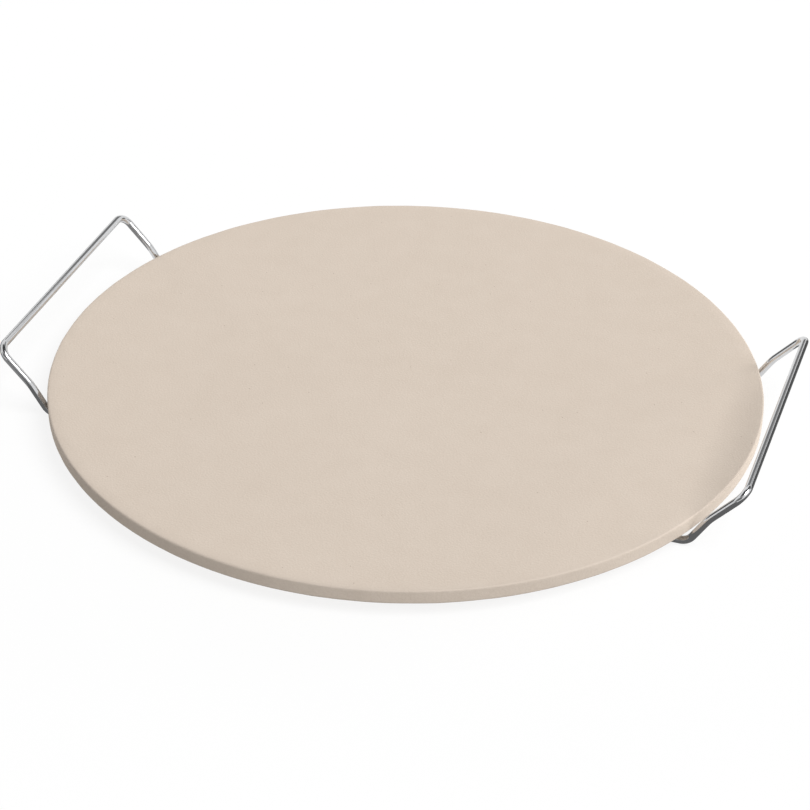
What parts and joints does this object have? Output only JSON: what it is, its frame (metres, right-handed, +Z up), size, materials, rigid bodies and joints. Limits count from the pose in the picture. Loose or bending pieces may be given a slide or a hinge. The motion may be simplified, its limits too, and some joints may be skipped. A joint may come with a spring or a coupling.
{
  "type": "pizza stone with wire rack",
  "caption": "Round flat baking stone resting on a low rack of bent chromed wire, with a raised carrying handle at either end; the stone lifts off the rack.",
  "frame": {"origin": "on the surface that the rails stand on, under the middle of the stone", "axes": "+X along the rails towards the right-hand handle, +Y across the rails, +Z up"},
  "size_m": [0.3492, 0.33, 0.0325],
  "materials": {
    "cordierite": "matte",
    "chromed_wire": "polished"
  },
  "bodies": {
    "rack": {"left_handle_wire": "chromed_wire", "right_handle_wire": "chromed_wire", "left_cross_wire": "chromed_wire", "right_cross_wire": "chromed_wire"},
    "stone": {"baking_stone": "cordierite"}
  },
  "joints": [
    {"name": "stone_lift", "type": "slide", "parent": "rack", "child": "stone", "axis": [0, 0, 1], "range_m": [0, 0.06]}
  ]
}
